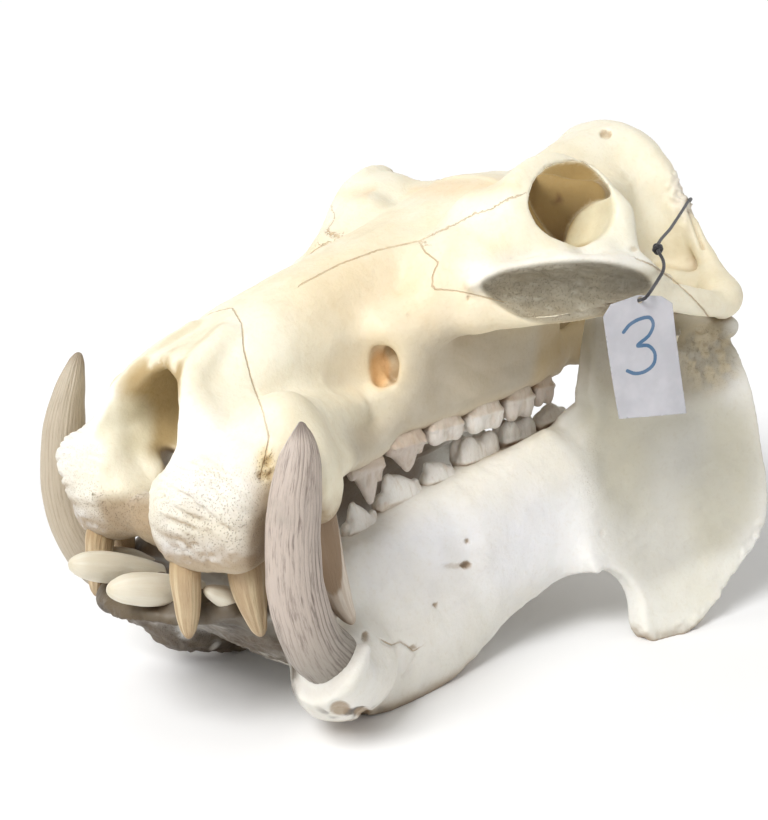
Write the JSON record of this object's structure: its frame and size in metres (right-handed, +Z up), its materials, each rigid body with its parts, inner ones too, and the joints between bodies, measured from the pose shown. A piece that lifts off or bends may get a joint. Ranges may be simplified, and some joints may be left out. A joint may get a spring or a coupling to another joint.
{
  "type": "hippopotamus skull",
  "caption": "Hippopotamus skull resting on its lower jaw, with curved tusks, front teeth and cheek teeth, and a paper tag hung on a black string.",
  "frame": {"origin": "under the middle of the skull's bounding box, without the tag and its string, on the surface it stands on", "axes": "+X to the animal's left, -Y out of the snout, +Z up"},
  "size_m": [0.4408, 0.7013, 0.4829],
  "materials": {
    "skull_bone": "dry bone, cream with ochre stains",
    "jaw_bone": "dry bone, cool white with khaki stains",
    "tusk": "striated enamel, brown to grey",
    "upper_ivory": "satin, tan with brown streaks",
    "ivory": "smooth satin",
    "enamel": "satin, worn",
    "paper": "matte",
    "string": "matte"
  },
  "bodies": {
    "root": {"cranium": "skull_bone", "mandible": "jaw_bone", "upper_incisor_1_left": "upper_ivory", "upper_incisor_2_left": "upper_ivory", "upper_canine_left": "upper_ivory", "lower_incisor_1_left": "ivory", "lower_incisor_2_left": "ivory", "lower_canine_left": "tusk", "upper_premolar_2_left": "enamel", "upper_premolar_3_left": "enamel", "upper_premolar_4_left": "enamel", "upper_molar_1_left": "enamel", "upper_molar_2_left": "enamel", "upper_molar_3_left": "enamel", "lower_premolar_2_left": "enamel", "lower_premolar_3_left": "enamel", "lower_premolar_4_left": "enamel", "lower_molar_1_left": "enamel", "lower_molar_2_left": "enamel", "lower_molar_3_left": "enamel", "upper_incisor_1_right": "upper_ivory", "upper_incisor_2_right": "upper_ivory", "upper_canine_right": "upper_ivory", "lower_incisor_1_right": "ivory", "lower_incisor_2_right": "ivory", "lower_canine_right": "tusk", "upper_premolar_2_right": "enamel", "upper_premolar_3_right": "enamel", "upper_premolar_4_right": "enamel", "upper_molar_1_right": "enamel", "upper_molar_2_right": "enamel", "upper_molar_3_right": "enamel", "lower_premolar_2_right": "enamel", "lower_premolar_3_right": "enamel", "lower_premolar_4_right": "enamel", "lower_molar_1_right": "enamel", "lower_molar_2_right": "enamel", "lower_molar_3_right": "enamel", "tag": "paper", "tag_string": "string", "tag_knot": "string"}
  },
  "joints": []
}
